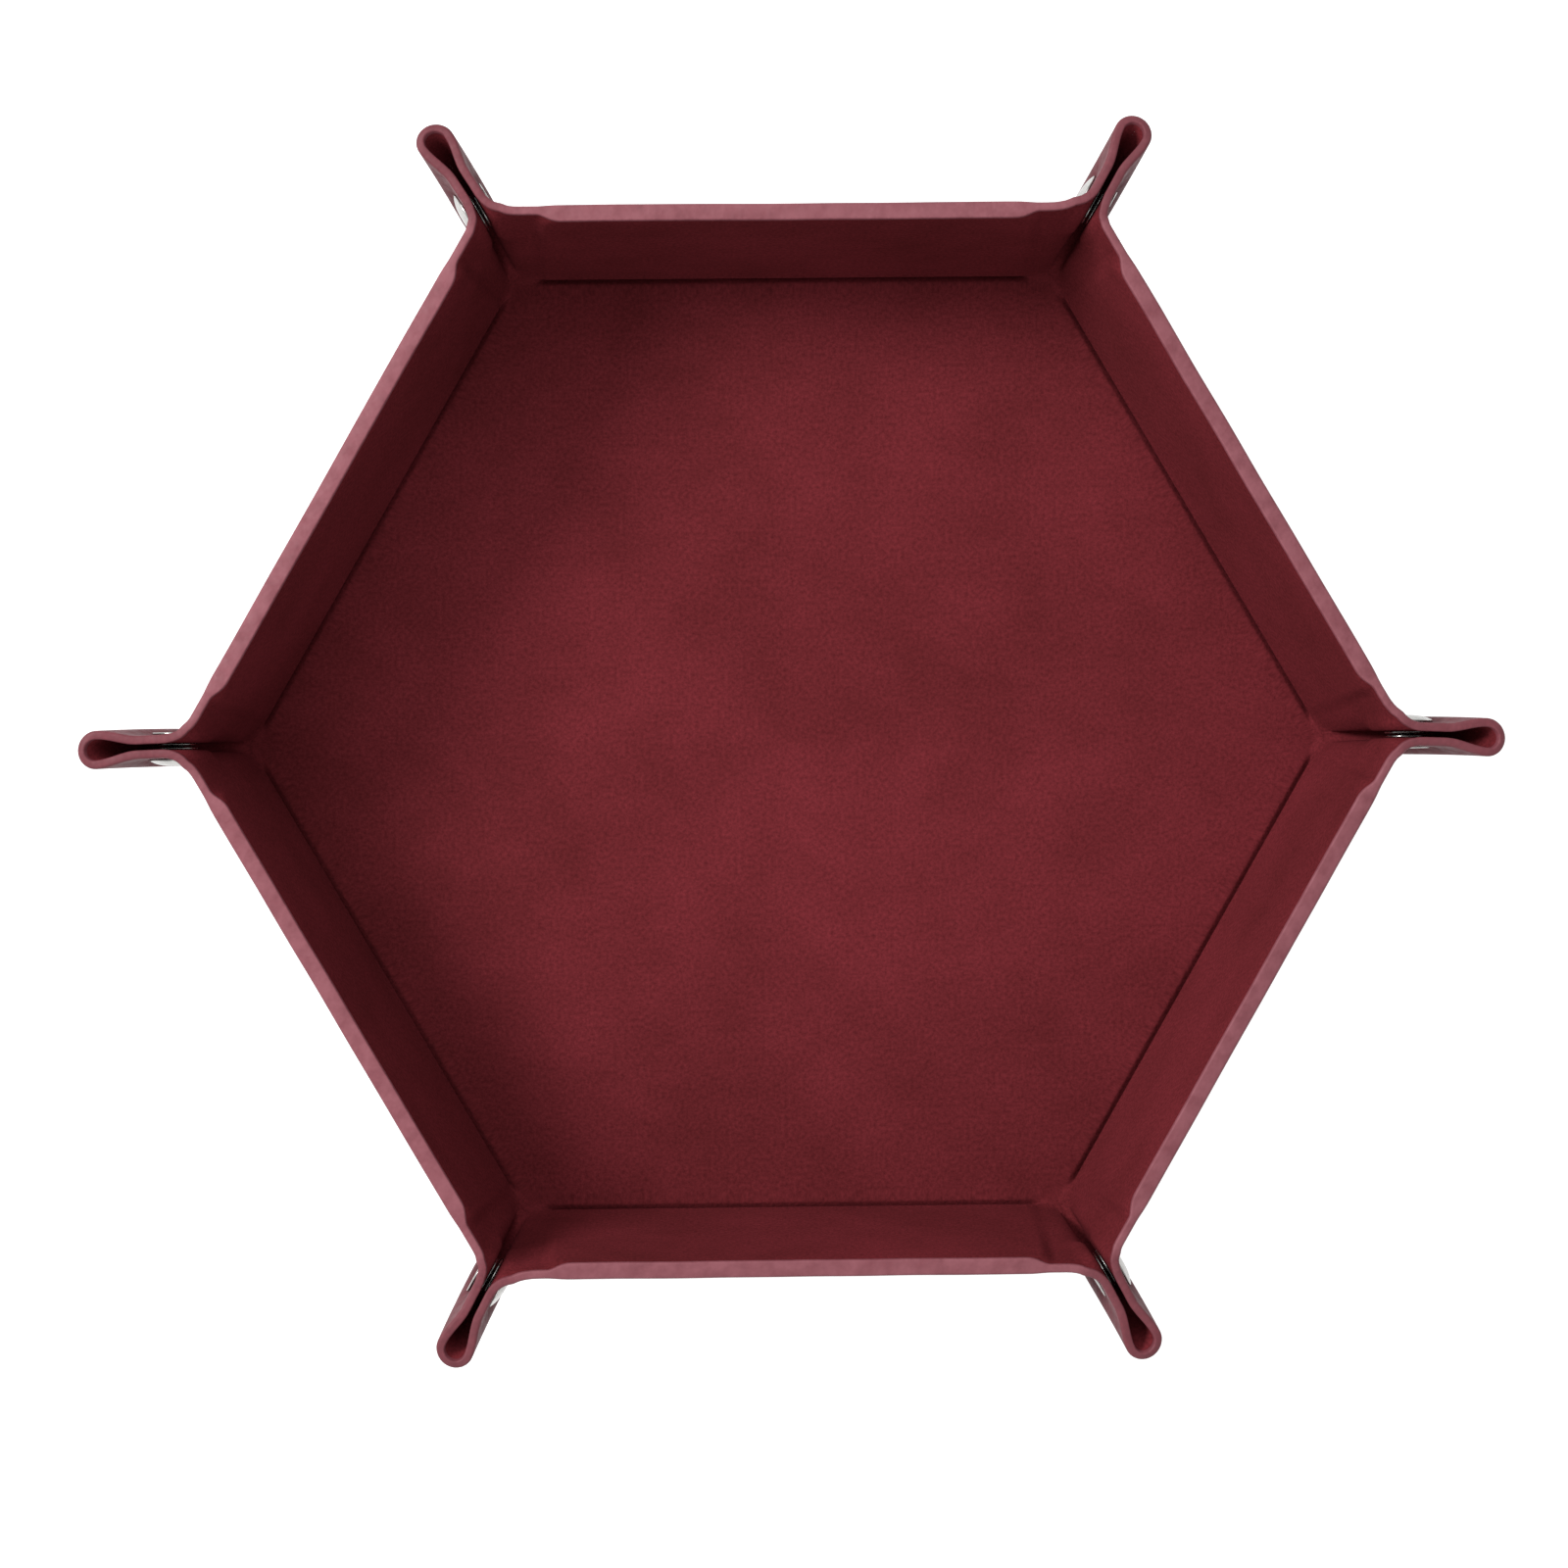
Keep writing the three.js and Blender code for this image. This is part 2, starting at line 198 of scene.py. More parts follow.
class EarHalf:
    """Half of an ear, from its hinge's foot: up the hinge, out along the ear, across to its partner."""

    def __init__(self, ear, kind):
        joint = JOINTS[f"ear_{ear}_{kind}_fold"]
        self.ear = ear
        self.kind = kind
        self.side = 1 if kind == "socket" else -1
        self.wall = WALLS[int(joint["parent"].split("_")[1])]
        self.body = joint["child"]
        self.up = -self.side * np.array(joint["axis"])
        self.away = self.side * np.cross(self.up, self.wall.inner)
        self.reach = math.cos(EAR_TURN) * self.away - math.sin(EAR_TURN) * self.wall.inner
        self.across = math.sin(EAR_TURN) * self.away + math.cos(EAR_TURN) * self.wall.inner
        self.foot = self.wall.origin + self.side * ROOT_FOOT * self.wall.along
        angle = (ear - 1) * 2 * math.pi / SIDES
        self.radial = np.array([math.cos(angle), math.sin(angle), 0.0])
        self.sideways = np.array([-math.sin(angle), math.cos(angle), 0.0])


WALLS = {number: Wall(number) for number in range(1, SIDES + 1)}
HALVES = [EarHalf(ear, kind) for ear in range(1, SIDES + 1) for kind in ("socket", "stud")]
HALF_AT = {(half.wall.number, half.side): half for half in HALVES}


# Meshes.

def finish_mesh(name, vertices, faces, material, sharp=38):
    """Vertices in millimetres. Edges that turn by more than sharp degrees stay crisp."""
    mesh = bpy.data.meshes.new(name)
    mesh.from_pydata([tuple(v * MM) for v in vertices], [], faces)
    build = bmesh.new()
    build.from_mesh(mesh)
    bmesh.ops.recalc_face_normals(build, faces=build.faces)
    build.to_mesh(mesh)
    build.free()
    mesh.shade_smooth()
    mesh.set_sharp_from_angle(angle=math.radians(sharp))
    mesh.materials.append(material)
    piece = bpy.data.objects.new(name, mesh)
    bpy.context.scene.collection.objects.link(piece)
    return piece


def add_flat_map(piece, flat):
    """flat is each vertex's place in the unfolded tray."""
    layer = piece.data.uv_layers.new(name="flat")
    corners = np.empty(len(piece.data.loops), int)
    piece.data.loops.foreach_get("vertex_index", corners)
    layer.data.foreach_set("uv", flat[corners].astype(np.float32).ravel())


def add_painted_highlight(piece, painted_highlight):
    """The second argument is 0 for plain leather and 1 where each vertex gets the full painted
    highlight, a paler colour that stands in for reflected light.
    """
    attribute = piece.data.attributes.new("painted_highlight", "FLOAT", "POINT")
    attribute.data.foreach_set("value", painted_highlight.astype(np.float32))


def sheet_piece(name, front, back, flat_front, flat_back, material, painted_highlight=None):
    """A closed sheet. front and back are its two faces as [station][row] points, row for row."""
    stations, rows = front.shape[:2]
    half = stations * rows
    faces = []
    for s in range(stations - 1):
        for r in range(rows - 1):
            here = s * rows + r
            there = here + rows
            faces.append((here, there, there + 1, here + 1))
            faces.append((half + here, half + here + 1, half + there + 1, half + there))
        for edge in (s * rows, s * rows + rows - 1):
            faces.append((edge, half + edge, half + edge + rows, edge + rows))
    for s in (0, stations - 1):
        for r in range(rows - 1):
            here = s * rows + r
            faces.append((here, here + 1, half + here + 1, half + here))
    vertices = np.concatenate([front.reshape(-1, 3), back.reshape(-1, 3)])
    piece = finish_mesh(name, vertices, faces, material)
    flat = np.concatenate([flat_front.reshape(-1, 2), flat_back.reshape(-1, 2)])
    add_flat_map(piece, flat)
    # The cover's back gets the painted highlight values, paler colour standing in for reflected light.
    if painted_highlight is not None:
        add_painted_highlight(piece, np.concatenate([np.zeros(half), painted_highlight.ravel()]))
    return piece


# Materials.

class Nodes:
    """A new material's node tree, with the principled shader in it."""

    def __init__(self, name):
        self.material = bpy.data.materials.new(name)
        self.material.use_nodes = True
        self.tree = self.material.node_tree
        self.shader = self.tree.nodes["Principled BSDF"]

    def add(self, kind, **values):
        node = self.tree.nodes.new("ShaderNode" + kind)
        for name, value in values.items():
            if name in node.inputs:
                node.inputs[name].default_value = value
            else:
                setattr(node, name, value)
        return node

    def link(self, out, into):
        self.tree.links.new(out, into)

    def stretched(self, source, stretch):
        mapping = self.add("Mapping")
        mapping.inputs["Scale"].default_value = stretch
        self.link(source, mapping.inputs["Vector"])
        return mapping.outputs["Vector"]

    def flat_place(self, stretch=(1, 1, 1)):
        """The place in the unfolded tray."""
        return self.stretched(self.add("UVMap", uv_map="flat").outputs["UV"], stretch)

    def object_place(self, stretch=(1, 1, 1)):
        return self.stretched(self.add("TexCoord").outputs["Object"], stretch)

    def noise(self, where, grain, detail=3.0, roughness=0.55):
        """Noise with features about grain metres across."""
        node = self.add("TexNoise", Scale=1 / grain, Detail=detail, Roughness=roughness)
        self.link(where, node.inputs["Vector"])
        return node.outputs["Fac"]

    def spread(self, value, low, high, to_low=0.0, to_high=1.0):
        """Stretches value's run from low to high over the run from to_low to to_high."""
        node = self.add("MapRange")
        ends = {"From Min": low, "From Max": high, "To Min": to_low, "To Max": to_high}
        for name, number in ends.items():
            node.inputs[name].default_value = number
        self.link(value, node.inputs["Value"])
        return node.outputs["Result"]

    def math(self, operation, first, second):
        node = self.add("Math", operation=operation)
        for socket, value in zip(node.inputs, (first, second)):
            if isinstance(value, (int, float)):
                socket.default_value = value
            else:
                self.link(value, socket)
        return node.outputs[0]

    def mix(self, factor, first, second, blend="MIX"):
        node = self.add("Mix", data_type="RGBA", blend_type=blend)
        sockets = (node.inputs[0], node.inputs[6], node.inputs[7])
        for socket, value in zip(sockets, (factor, first, second)):
            if isinstance(value, (int, float)):
                socket.default_value = value
            elif isinstance(value, tuple):
                socket.default_value = (*value, 1)
            else:
                self.link(value, socket)
        return node.outputs[2]

    def bump(self, height, strength, distance, after=None):
        node = self.add("Bump", Strength=strength, Distance=distance)
        self.link(height, node.inputs["Height"])
        if after is not None:
            self.link(after, node.inputs["Normal"])
        return node.outputs["Normal"]

    def set(self, **values):
        for name, value in values.items():
            socket = self.shader.inputs[name.replace("_", " ")]
            if hasattr(value, "is_linked"):
                self.link(value, socket)
            elif isinstance(value, tuple):
                socket.default_value = (*value, 1)
            else:
                socket.default_value = value


def velvet_material():
    """Short-pile microfibre velvet: a brushed nap in soft clouds, with a fine grain."""
    m = Nodes("velvet")
    place = m.flat_place()
    brushed = m.flat_place((1.0, 1.9, 1.0))
    clouds = m.spread(m.noise(place, 0.060, 2.0, 0.5), 0.34, 0.66)
    blotches = m.spread(m.noise(place, 0.017, 4.0, 0.6), 0.32, 0.68)
    strokes = m.spread(m.noise(brushed, 0.009, 5.0, 0.65), 0.32, 0.70)
    broad = m.math("ADD", m.math("MULTIPLY", clouds, 0.45), m.math("MULTIPLY", blotches, 0.35))
    nap = m.math("ADD", broad, m.math("MULTIPLY", strokes, 0.20))
    pile = m.noise(place, 0.00070, 2.0, 0.75)
    waves = m.noise(place, 0.004, 4.0, 0.6)
    base = m.mix(nap, (0.073, 0.0104, 0.0122), (0.126, 0.0172, 0.0222))
    grain = m.spread(pile, 0.25, 0.75, 0.68, 1.32)
    shade = m.add("CombineColor")
    for channel in shade.inputs:
        m.link(grain, channel)
    m.set(
        Base_Color=m.mix(1.0, base, shade.outputs[0], "MULTIPLY"),
        Roughness=0.95,
        Specular_IOR_Level=0.0,
        Sheen_Weight=0.015,
        Sheen_Roughness=0.5,
        Sheen_Tint=(0.95, 0.22, 0.28),
        Normal=m.bump(waves, 0.25, 0.0006, m.bump(pile, 0.6, 0.0002)),
    )
    return m.material


def leather_material():
    """Split leather with a fine pebbled grain, and a painted highlight: paler along the turned-over
    rim, where it reflects the light.
    """
    m = Nodes("leather")
    place = m.flat_place()
    pebble, warp_grain, warp_size = 0.00095, 0.0016, 0.0005
    pebbles = m.add("TexVoronoi", feature="SMOOTH_F1", Scale=1 / pebble, Smoothness=0.45)
    bent = m.add("VectorMath", operation="ADD")
    warp = m.add("TexNoise", Scale=1 / warp_grain, Detail=2.0)
    m.link(place, warp.inputs["Vector"])
    wobble = m.add("VectorMath", operation="SCALE")
    wobble.inputs["Scale"].default_value = warp_size
    m.link(warp.outputs["Color"], wobble.inputs[0])
    m.link(place, bent.inputs[0])
    m.link(wobble.outputs[0], bent.inputs[1])
    m.link(bent.outputs[0], pebbles.inputs["Vector"])
    clouds = m.spread(m.noise(place, 0.018, 4.0, 0.6), 0.32, 0.68)
    hide = m.mix(clouds, (0.092, 0.015, 0.021), (0.128, 0.023, 0.032))
    valleys = m.spread(pebbles.outputs["Distance"], 0.1, 0.7, 0.0, 1.0)
    hide = m.mix(m.math("MULTIPLY", valleys, 0.35), hide, (0.045, 0.008, 0.012))
    # Painted highlight: the leather is mixed towards a paler colour near the top of the rim, in
    # patches, standing in for the light the rim reflects.
    painted_highlight = m.add("Attribute", attribute_name="painted_highlight")
    patches = m.spread(m.noise(place, 0.0035, 3.0), 0.3, 0.62, 0.55, 1.0)
    highlit = m.math("MULTIPLY", painted_highlight.outputs["Fac"], patches)
    pebbled = m.bump(pebbles.outputs["Distance"], 0.45, 0.00012)
    m.set(
        Base_Color=m.mix(highlit, hide, (0.190, 0.060, 0.073)),
        Roughness=m.spread(m.noise(place, 0.002, 3.0), 0.3, 0.7, 0.50, 0.70),
        Specular_IOR_Level=0.22,
        Normal=m.bump(m.noise(place, 0.006, 3.0), 0.3, 0.0006, pebbled),
    )
    return m.material


def board_material():
    """Grey bookbinder's board with flecks and pressed fibres."""
    m = Nodes("greyboard")
    place = m.object_place()
    fibres = m.noise(m.object_place((1.0, 5.0, 5.0)), 0.0022, 5.0, 0.7)
    flecks = m.spread(m.noise(place, 0.0011, 2.0), 0.64, 0.70)
    pulp = m.mix(m.spread(fibres, 0.35, 0.65), (0.27, 0.235, 0.19), (0.41, 0.37, 0.31))
    m.set(
        Base_Color=m.mix(flecks, pulp, (0.13, 0.11, 0.09)),
        Roughness=0.93,
        Specular_IOR_Level=0.2,
        Normal=m.bump(fibres, 0.35, 0.0001),
    )
    return m.material


def nickel_material():
    """Bright nickel plate, finely scuffed."""
    m = Nodes("nickel")
    place = m.object_place()
    scuffs = m.noise(m.object_place((3.0, 1.0, 1.0)), 0.0012, 4.0, 0.6)
    tarnish = m.spread(m.noise(place, 0.0035, 3.0), 0.4, 0.75)
    m.set(
        Base_Color=m.mix(tarnish, (0.46, 0.455, 0.44), (0.31, 0.305, 0.29)),
        Metallic=1.0,
        Roughness=m.spread(scuffs, 0.3, 0.7, 0.20, 0.34),
        Normal=m.bump(scuffs, 0.08, 0.00001),
    )
    return m.material


VELVET = velvet_material()
COVER = leather_material()
BOARD = board_material()
NICKEL = nickel_material()


# Floor: a lining panel above and a cover panel below, up to the folds.

PANEL_STEPS = 30
FLOOR_RIPPLE = 0.09
BROAD_RIPPLE, FINE_RIPPLE = 38.0, 13.0  # how far apart its swells are
FINE_SHARE = 0.4
CALM_EDGE = 0.12  # share of the way to the centre over which the swells come up


def hexagon_panel(name, low, high, swell, material):
    """A flat hexagon from low to high, on a triangular lattice, its top softly uneven by swell."""
    size = (CREASE - FOLD) / math.cos(HALF_CORNER)
    first = np.array([1.0, 0.0])
    second = np.array([0.5, math.sqrt(0.75)])
    spots = {}
    points = []
    steps = PANEL_STEPS
    for i in range(-steps, steps + 1):
        for j in range(max(-steps, -steps - i), min(steps, steps - i) + 1):
            spots[i, j] = len(points)
            points.append((first * i + second * j) * size / steps)
    edge = [(steps - k, k) for k in range(steps)] + [(-k, steps) for k in range(steps)]
    edge += [(-steps, steps - k) for k in range(steps)]
    edge += [(-i, -j) for i, j in edge]
    count = len(points)
    vertices = []
    for level, amount in ((low, 0.0), (high, swell)):
        for (i, j), (x, y) in zip(spots, points):
            inside = 1 - max(abs(i), abs(j), abs(i + j)) / steps
            uneven = ripple(x, y, BROAD_RIPPLE, 2) + FINE_SHARE * ripple(x, y, FINE_RIPPLE, 5)
            lift = amount * smooth(0.0, CALM_EDGE, inside) * uneven
            vertices.append(np.array([x, y, level + lift]))
    faces = []
    for i, j in spots:
        for corner in (((i + 1, j), (i, j + 1)), ((i, j + 1), (i - 1, j + 1))):
            if all(spot in spots for spot in corner):
                a, b, c = spots[i, j], spots[corner[0]], spots[corner[1]]
                faces.append((count + a, count + b, count + c))
                faces.append((a, c, b))
    for k, spot in enumerate(edge):
        a, b = spots[spot], spots[edge[(k + 1) % len(edge)]]
        faces.append((a, b, count + b, count + a))
    piece = finish_mesh(name, vertices, faces, material)
    add_flat_map(piece, np.array(vertices)[:, :2] * MM)
    return piece


def build_floor():
    lining = hexagon_panel("floor_velvet", FLOOR_TOP - LINING, FLOOR_TOP, FLOOR_RIPPLE, VELVET)
    cover = hexagon_panel("floor_cover", 0.0, LEATHER, 0.0, COVER)
    add_painted_highlight(cover, np.zeros(len(cover.data.vertices)))
    for piece, slot in ((lining, "lining"), (cover, "leather")):
        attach(piece, "floor")
        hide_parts(f"floor_{slot}")
    return lining


# Walls.

def past_board(x, height):
    """From 0 on the board to 1 where the sheet runs on without it, past its rounded outline."""
    beyond_end = abs(x) - (BOARD_HALF - BOARD_CORNER)
    beyond_top = min(height, BOARD_TOP) - (BOARD_TOP - BOARD_CORNER)
    if beyond_end > 0 and beyond_top > 0:
        gap = math.hypot(beyond_end, beyond_top) - BOARD_CORNER
    else:
        gap = max(beyond_end, beyond_top) - BOARD_CORNER
    return float(smooth(STEP_START, STEP_START + STEP_RUN, gap))


def inner_step(height):
    """How far the lining drops back past the board's end, more towards the rim."""
    high = float(smooth(STEP_CHANGE * RIM, RIM, height))
    return LOW_INNER_STEP + (INNER_STEP - LOW_INNER_STEP) * high


def lining_depth(x, height):
    """The lining's face on the board to its face at this place."""
    return inner_step(height) * past_board(x, height)


def cover_depth(x, height):
    """Lining face on the board to the back of the cover."""
    return BOARD_BACK - (BOARD_BACK - GUSSET_BACK - inner_step(height)) * past_board(x, height)


LINING_TOP = BOARD_TOP
ROWS = 20
TURN_STEPS = 5
RIM_INSIDE_ROUND = 0.35
RIM_CROWN = 0.03  # the rim is this much fuller in its middle
RIM_HIGHLIGHT_BAND = (1.6, 0.2)  # below the rim's top, where its painted highlight starts and where it is full
TOP_EDGE = 0.4  # the lining's top edge is rounded over this height
WALL_RIPPLE = 0.10
LINING_SWELL, COVER_SWELL = 16.0, 14.0  # how far apart a wall's swells are
CALM_END, CALM_FOOT = 8.0, 6.0  # they come up over this far from its ends and from its foot


def lining_profile(face_at):
    """Front and back of the lining as (depth, height) pairs, foot to rim, its top edge rounded."""
    heights = list(np.linspace(FOLD, LINING_TOP - TOP_EDGE, ROWS))
    top = face_at(LINING_TOP)
    front = [(face_at(h), h) for h in heights]
    front += [(top + 0.06, LINING_TOP - 0.15), (top + 0.2, LINING_TOP)]
    back = [(face_at(h) + LINING, h) for h in heights]
    back += [(top + LINING, LINING_TOP - 0.15), (top + LINING - 0.1, LINING_TOP)]
    return front, back


def cover_profile(depth_at, face_at):
    """Front and back of the cover. The back runs up, over the rim and down to the lining's edge.

    The front follows it inside, on the board and then over the board's top.
    """
    top_depth = depth_at(BOARD_TOP)
    top_face = face_at(BOARD_TOP)
    heights = list(np.linspace(FOLD, RIM - RIM_ROUND, ROWS))
    back = [(depth_at(h), h) for h in heights]
    turn = np.linspace(0, math.pi / 2, TURN_STEPS + 1)[1:]
    for a in turn:
        depth = top_depth - RIM_ROUND * (1 - math.cos(a))
        back.append((depth, RIM - RIM_ROUND * (1 - math.sin(a))))
    crown = (top_depth - RIM_ROUND + top_face - RIM_LIP) / 2
    back.append((crown, RIM + RIM_CROWN))
    for a in [0.0, *turn]:
        depth = top_face - RIM_LIP + RIM_INSIDE_ROUND * (1 - math.sin(a))
        back.append((depth, RIM - RIM_INSIDE_ROUND * (1 - math.cos(a))))
    back.append((top_face - RIM_LIP, BOARD_TOP + 0.02))
    front = [(depth_at(h) - LEATHER, h) for h in heights[:-1]]
    inside_top = BOARD_TOP + GLUE
    spare = len(back) - len(front)
    start = top_depth - LEATHER
    stop = top_face + 0.1
    for step in range(spare):
        part = step / (spare - 1)
        front.append((start + (stop - start) * part, inside_top - 0.3 * (1 - part) ** 6))
    return front, back


def run_lengths(profile):
    """Each point's height in the flat sheet: the length of the profile below it."""
    return FOLD + lengths_along(np.array(profile))


# How much painted highlight each point of a profile gets: a paler leather colour near the top of the
# rim, standing in for reflected light.
def painted_rim_highlight(profile):
    start, full = RIM_HIGHLIGHT_BAND
    return np.array([float(smooth(RIM - start, RIM - full, h)) for _, h in profile])


def wall_stations():
    """Places along a wall, close together past the board's end, where the sheet steps back."""
    plain, close = 38.0, 40.0
    middle = np.linspace(-plain, plain, 39)
    end = np.concatenate([np.linspace(plain, close, 3)[1:], np.linspace(close, WALL_END, 19)[1:]])
    return np.concatenate([-end[::-1], middle, end])


def wall_sheet(wall, name, profile_at, face_depth, material, painted_highlight):
    """Sweeps a profile along the wall. face_depth adds unevenness to the face that shows."""
    fronts, backs, flat_front, flat_back, highlight_rows = [], [], [], [], []
    for x in wall_stations():
        front, back = profile_at(x)
        points = []
        for side, profile in enumerate((front, back)):
            row = []
            for depth, height in profile:
                face = wall.origin + wall.along * x + wall.up * height
                row.append(face - wall.inner * (depth + face_depth(x, height, side)))
            points.append(row)
        fronts.append(points[0])
        backs.append(points[1])
        flat_front.append([wall.flat(x, height) for _, height in front])
        flat_back.append([wall.flat(x, run) for run in run_lengths(back)])
        # Painted highlight along the cover's rim, paler colour standing in for reflected light.
        highlight_rows.append(painted_rim_highlight(back))
    arrays = [np.array(a) for a in (fronts, backs, flat_front, flat_back)]
    return sheet_piece(name, *arrays, material, np.array(highlight_rows) if painted_highlight else None)


def build_wall(wall):
    number = wall.number

    def calm(x, height):
        """0 at the edges, which meet other pieces, and 1 inside."""
        inside = smooth(0.0, CALM_END, WALL_END - abs(x))
        return float(inside * smooth(FOLD, FOLD + CALM_FOOT, height))

    def lining_shift(x, height, side):
        swell = (1 + ripple(x, height, LINING_SWELL, number)) / 2
        return -WALL_RIPPLE * (side == 0) * calm(x, height) * swell

    def cover_shift(x, height, side):
        swell = ripple(x, height * 1.5, COVER_SWELL, number + 9)
        return WALL_RIPPLE * (side == 1) * calm(x, height) * swell

    def lining_at(x):
        return lining_profile(partial(lining_depth, x))

    def cover_at(x):
        return cover_profile(partial(cover_depth, x), partial(lining_depth, x))

    lining = wall_sheet(wall, f"wall_{number}_velvet", lining_at, lining_shift, VELVET, False)
    cover = wall_sheet(wall, f"wall_{number}_cover", cover_at, cover_shift, COVER, True)
    for piece, slot in ((lining, "lining"), (cover, "leather")):
        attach(piece, f"wall_{number}")
        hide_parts(f"wall_{number}_{slot}")
    return lining


# Ears.

TIP_SLOPE = math.tan(HALF_CORNER - MITRE)
TIP_START = (ROOT_INSET * math.cos(MITRE), ROOT_INSET * math.sin(MITRE))


def disc(node, half):
    """A turned part's centre on its ear, its radius, and its lowest and highest point across it."""
    points = np.array([v.co for v in frame["nodes"][node].data.vertices]) / MM
    middle = points.mean(axis=0)
    heights = (points - half.foot) @ half.across
    flat = (points - middle) - np.outer((points - middle) @ half.across, half.across)
    centre = middle - half.across * np.dot(middle - half.foot, half.across)
    return centre, float(np.linalg.norm(flat, axis=1).max()), heights.min(), heights.max()


def snap_place():
    """Ear root to the far edge of the press stud's cap, the cap's height and its radius."""
    half = HALVES[0]
    centre, radius = disc("snap_1_cap", half)[:2]
    reach = float(np.dot(centre - half.foot, half.reach)) + radius
    height = float(np.dot(centre - half.foot, half.up)) * math.cos(MITRE)
    return reach, height, radius


SNAP_REACH, SNAP_HEIGHT, SNAP_RADIUS = snap_place()
SNAP_FREE = 1.3  # beside a press stud the root bends within this far
SNAP_MARGIN = 0.3  # the flare may start this far inside the cap's edge
GRIP_START = 2.2  # a press stud's grip starts this many of its radii below its centre
GRIP_END = 0.5  # and is gone this far below the rim
# How far before the root the set-back starts to fade, and how much earlier a press stud's grip
# makes its start and its end. It is gone in any case between these shares of a row's points.
FADE_LEAD, GRIP_LEAD, GRIP_CUT = 1.0, 1.8, 4.2
SETBACK_GONE = (0.4, 0.9)
# Each way of a root's bend: its least run, its run when pinched, and what looseness adds.
BACK_LEAST, BACK_PINCHED, BACK_LOOSE = 1.9, 2.2, 4.4
OUT_LEAST, OUT_PINCHED, OUT_LOOSE = 1.6, 1.8, 4.2
BACK_SHARE, OUT_SHARE = 0.97, 0.5  # the most it takes of the way to the seam and to the flare
FOOT_WIDTH = 0.3  # a bend's width at the foot, as a share of its width at the rim
WALL_STEPS, ROOT_STEPS, NECK_STEPS, FLARE_STEPS, BULB_STEPS = 3, 10, 5, 9, 10
EAR_RIM_HIGHLIGHT = 0.35  # how strong the painted highlight on the rim of an ear is, next to that on the rim of a wall


def snap_grip(height):
    """1 where the press stud holds the sheet flat right up to the root, 0 clear of it."""
    below = smooth(SNAP_HEIGHT - GRIP_START * SNAP_RADIUS, SNAP_HEIGHT - SNAP_RADIUS, height)
    above = smooth(SNAP_HEIGHT + SNAP_RADIUS, RIM - GRIP_END, height)
    return float(below * (1 - above))


def set_back(row, half, hinge, height):
    """Beyond the board the sheet stands back from the lining's face, until the ear is pinched."""
    past_hinge = (row - hinge) @ unit(half.away + half.reach)
    turn = smooth(-ROOT_SETBACK, ROOT_SETBACK, past_hinge)[:, None]
    backward = -unit(half.wall.inner * (1 - turn) + half.across * turn)
    grip = snap_grip(height)
    kept = 1 - smooth(-FADE_LEAD - GRIP_LEAD * grip, ROOT_PINCH - GRIP_CUT * grip, past_hinge)
    before_tip = 1 - smooth(*SETBACK_GONE, np.arange(len(row)) / (len(row) - 1))
    return (inner_step(height) * kept * before_tip)[:, None] * backward


def root_runs(half, height, seam_run, flare):
    """How far a root's bend runs back along the wall and out along the ear."""
    loose = ROOT_LOOSENESS[half.ear, half.kind]
    width = FOOT_WIDTH + (1 - FOOT_WIDTH) * height / RIM
    back = min(max(BACK_LEAST, (BACK_PINCHED + BACK_LOOSE * loose) * width), BACK_SHARE * seam_run)
    out = min(max(OUT_LEAST, (OUT_PINCHED + OUT_LOOSE * loose) * width), OUT_SHARE * flare)
    return back, out + (min(SNAP_FREE, out) - out) * snap_grip(height)


def teardrop(half, hinge, out, flare, middle, radius):
    """The ear's face from where it flares to its tip, middle being where its round end starts."""
    points = []
    for i in range(FLARE_STEPS):
        t = i / FLARE_STEPS
        dip = (radius - EAR_GAP) * smooth(0.0, 1.0, t)
        points.append(hinge + out * (flare + (middle - flare) * t) - half.across * dip)
    for i in range(BULB_STEPS + 1):
        angle = i / BULB_STEPS * math.pi / 2
        lift = EAR_GAP - radius * math.cos(angle)
        points.append(hinge + out * (middle + radius * math.sin(angle)) + half.across * lift)
    return points


def tucked(row, half, share, wall_handle):
    """Turns a low row by a share into one soft curve from the wall to the tip."""
    lengths = lengths_along(row)
    t = (lengths / lengths[-1])[:, None]
    second = row[-1] - half.across * POCKET_HANDLE
    return row * (1 - share) + cubic(row[0], row[0] + wall_handle, second, row[-1], t) * share


